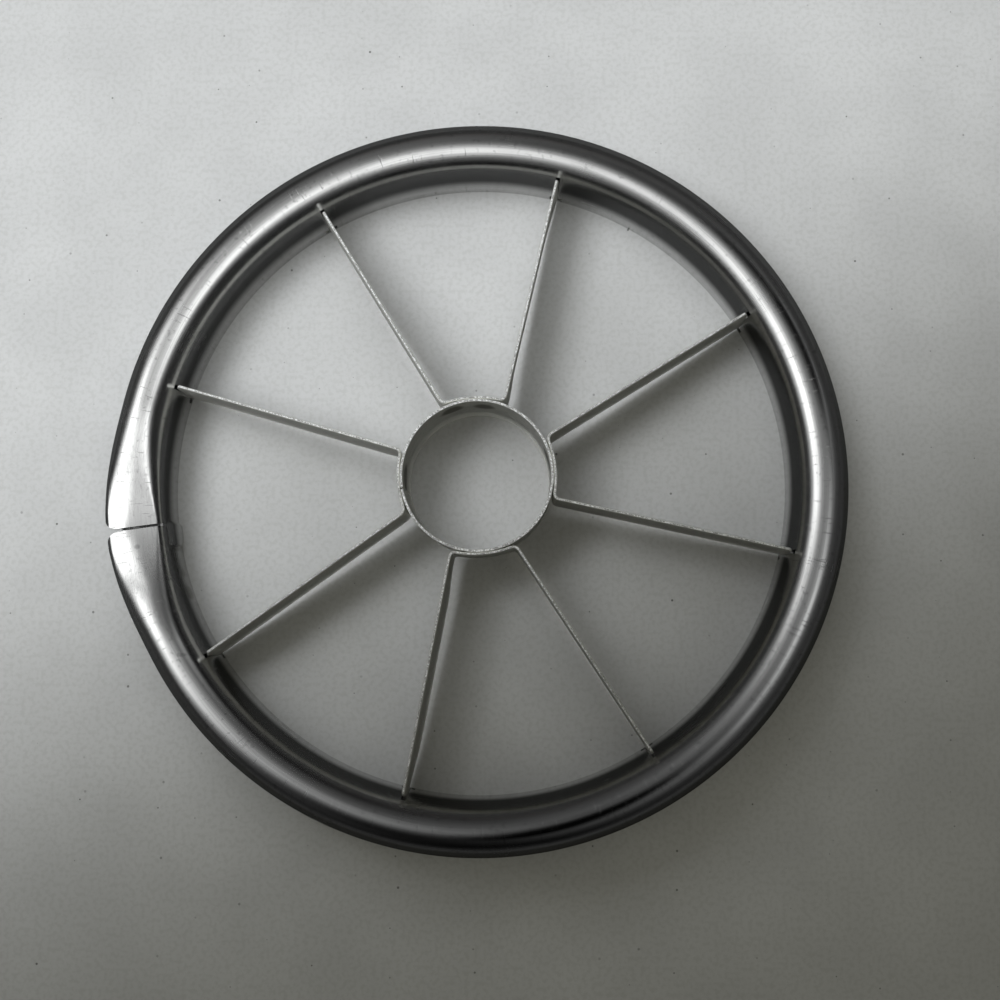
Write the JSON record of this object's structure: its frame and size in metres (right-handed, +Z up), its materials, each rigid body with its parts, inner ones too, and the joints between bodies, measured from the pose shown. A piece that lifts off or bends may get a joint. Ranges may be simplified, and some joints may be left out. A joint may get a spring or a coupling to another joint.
{
  "type": "apple corer and wedger",
  "caption": "Round press-down apple corer and wedger: rolled sheet-steel rim, radial blade strips and a core ring.",
  "frame": {"origin": "on the rim's axis, in the plane of the table that the band stands on", "axes": "+Z up along the rim's axis, away from the cutting side; +X towards the right of the picture, +Y towards its top; the rim's seam faces -X"},
  "size_m": [0.109, 0.108, 0.0112],
  "materials": {
    "rim_steel": "rolled stainless sheet, fine brushing round the bead, polished by use",
    "core_steel": "thin stainless strip, satin, with spot-weld discolouration",
    "blade_steel": "sheared stainless strip, satin faces, bright rough edges"
  },
  "bodies": {
    "root": {"rim_ring": "rim_steel", "core_ring": "core_steel", "blade_strip_right": "blade_steel", "blade_strip_top": "blade_steel", "blade_strip_left": "blade_steel", "blade_strip_bottom": "blade_steel"}
  },
  "joints": []
}
